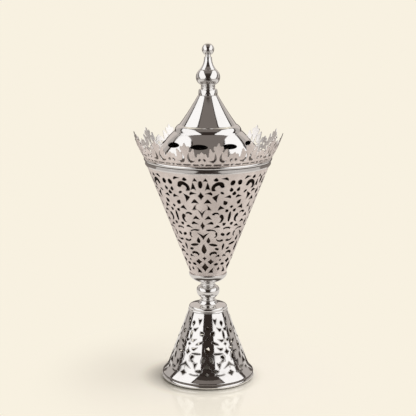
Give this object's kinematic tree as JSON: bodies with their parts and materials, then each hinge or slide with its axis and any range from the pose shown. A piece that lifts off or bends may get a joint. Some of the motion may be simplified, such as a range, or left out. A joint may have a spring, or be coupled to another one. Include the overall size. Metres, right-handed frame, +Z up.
{
  "type": "incense burner",
  "caption": "Footed incense burner with a pierced conical body, scalloped crown, lift-out coal pan and vented, spired lid.",
  "frame": {"origin": "centre of the foot ring, on the surface that the burner stands on", "axes": "+Z up along the burner's axis; every piece is round about Z; -Y faces the viewer"},
  "size_m": [0.131, 0.1302, 0.3],
  "materials": {
    "polished_plate": "mirror polished nickel-coloured plate",
    "satin_plate": "fine satin, faintly warm",
    "plain_sheet": "plain spun sheet, unpolished",
    "fastener_steel": "plain turned or pressed steel"
  },
  "bodies": {
    "burner": {"foot_ring": "polished_plate", "base_skirt": "polished_plate", "base_cap": "polished_plate", "stem_bead": "polished_plate", "stem_ball": "polished_plate", "stem_collar": "polished_plate", "body_cup": "polished_plate", "body_cone": "satin_plate", "rim_band": "polished_plate", "pan_seat_ring": "plain_sheet", "crown": "satin_plate", "tie_rod": "fastener_steel", "tie_lower_washer": "fastener_steel", "tie_upper_washer": "fastener_steel", "tie_lower_nut": "fastener_steel", "tie_upper_nut": "fastener_steel"},
    "pan": {"coal_pan": "plain_sheet"},
    "lid": {"lid_dome": "polished_plate", "lid_locating_ring": "plain_sheet", "finial_collar": "polished_plate", "finial_bulb": "polished_plate", "finial_spire": "polished_plate", "finial_tip_ball": "polished_plate", "finial_stud": "fastener_steel", "finial_washer": "fastener_steel", "finial_nut": "fastener_steel"}
  },
  "joints": [
    {"name": "pan_lift", "type": "slide", "parent": "burner", "child": "pan", "axis": [0, 0, 1], "range_m": [0, 0.08]},
    {"name": "lid_lift", "type": "slide", "parent": "pan", "child": "lid", "axis": [0, 0, 1], "range_m": [0, 0.15]}
  ]
}
